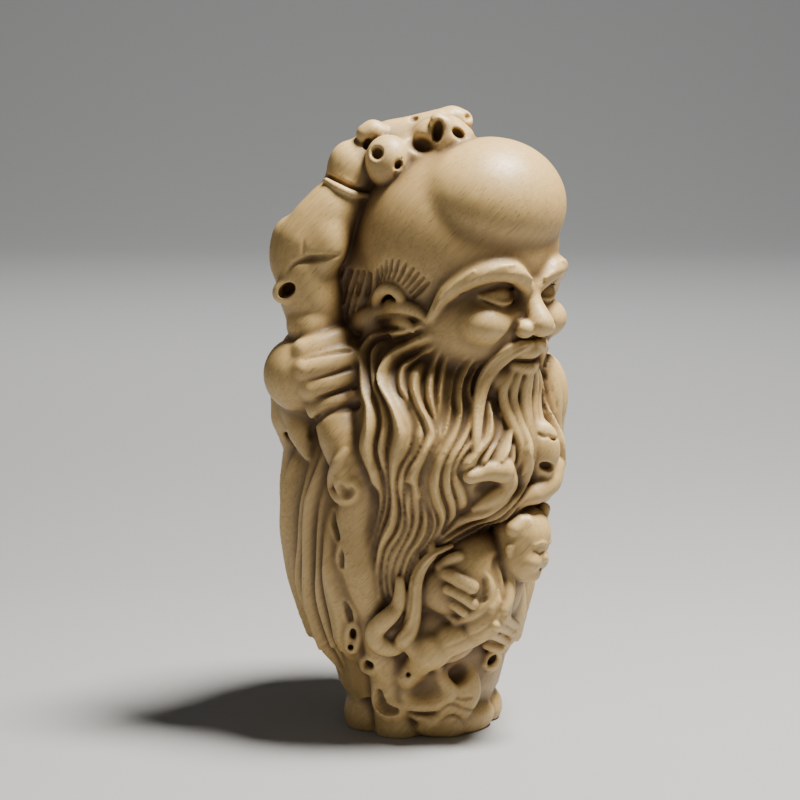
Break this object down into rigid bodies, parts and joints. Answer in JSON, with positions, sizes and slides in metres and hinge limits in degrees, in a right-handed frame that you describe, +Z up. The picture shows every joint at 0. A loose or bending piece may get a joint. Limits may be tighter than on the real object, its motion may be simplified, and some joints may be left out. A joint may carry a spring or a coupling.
{
  "type": "shou lao figure",
  "caption": "Carved boxwood figure of a bearded elder with a domed forehead, holding a knotted staff, a child at the robe; stands on its flat cut underside.",
  "frame": {"origin": "middle of the flat cut underside, where the figure stands", "axes": "+Z up through the figure, -Y the way the figure faces, -X towards the figure's own right hand, which holds the staff"},
  "size_m": [0.054, 0.0596, 0.1198],
  "materials": {
    "boxwood": "carved boxwood, smoothed and waxed to a low satin, with fine straight grain"
  },
  "bodies": {
    "root": {"shou_lao_figure": "boxwood"}
  },
  "joints": []
}
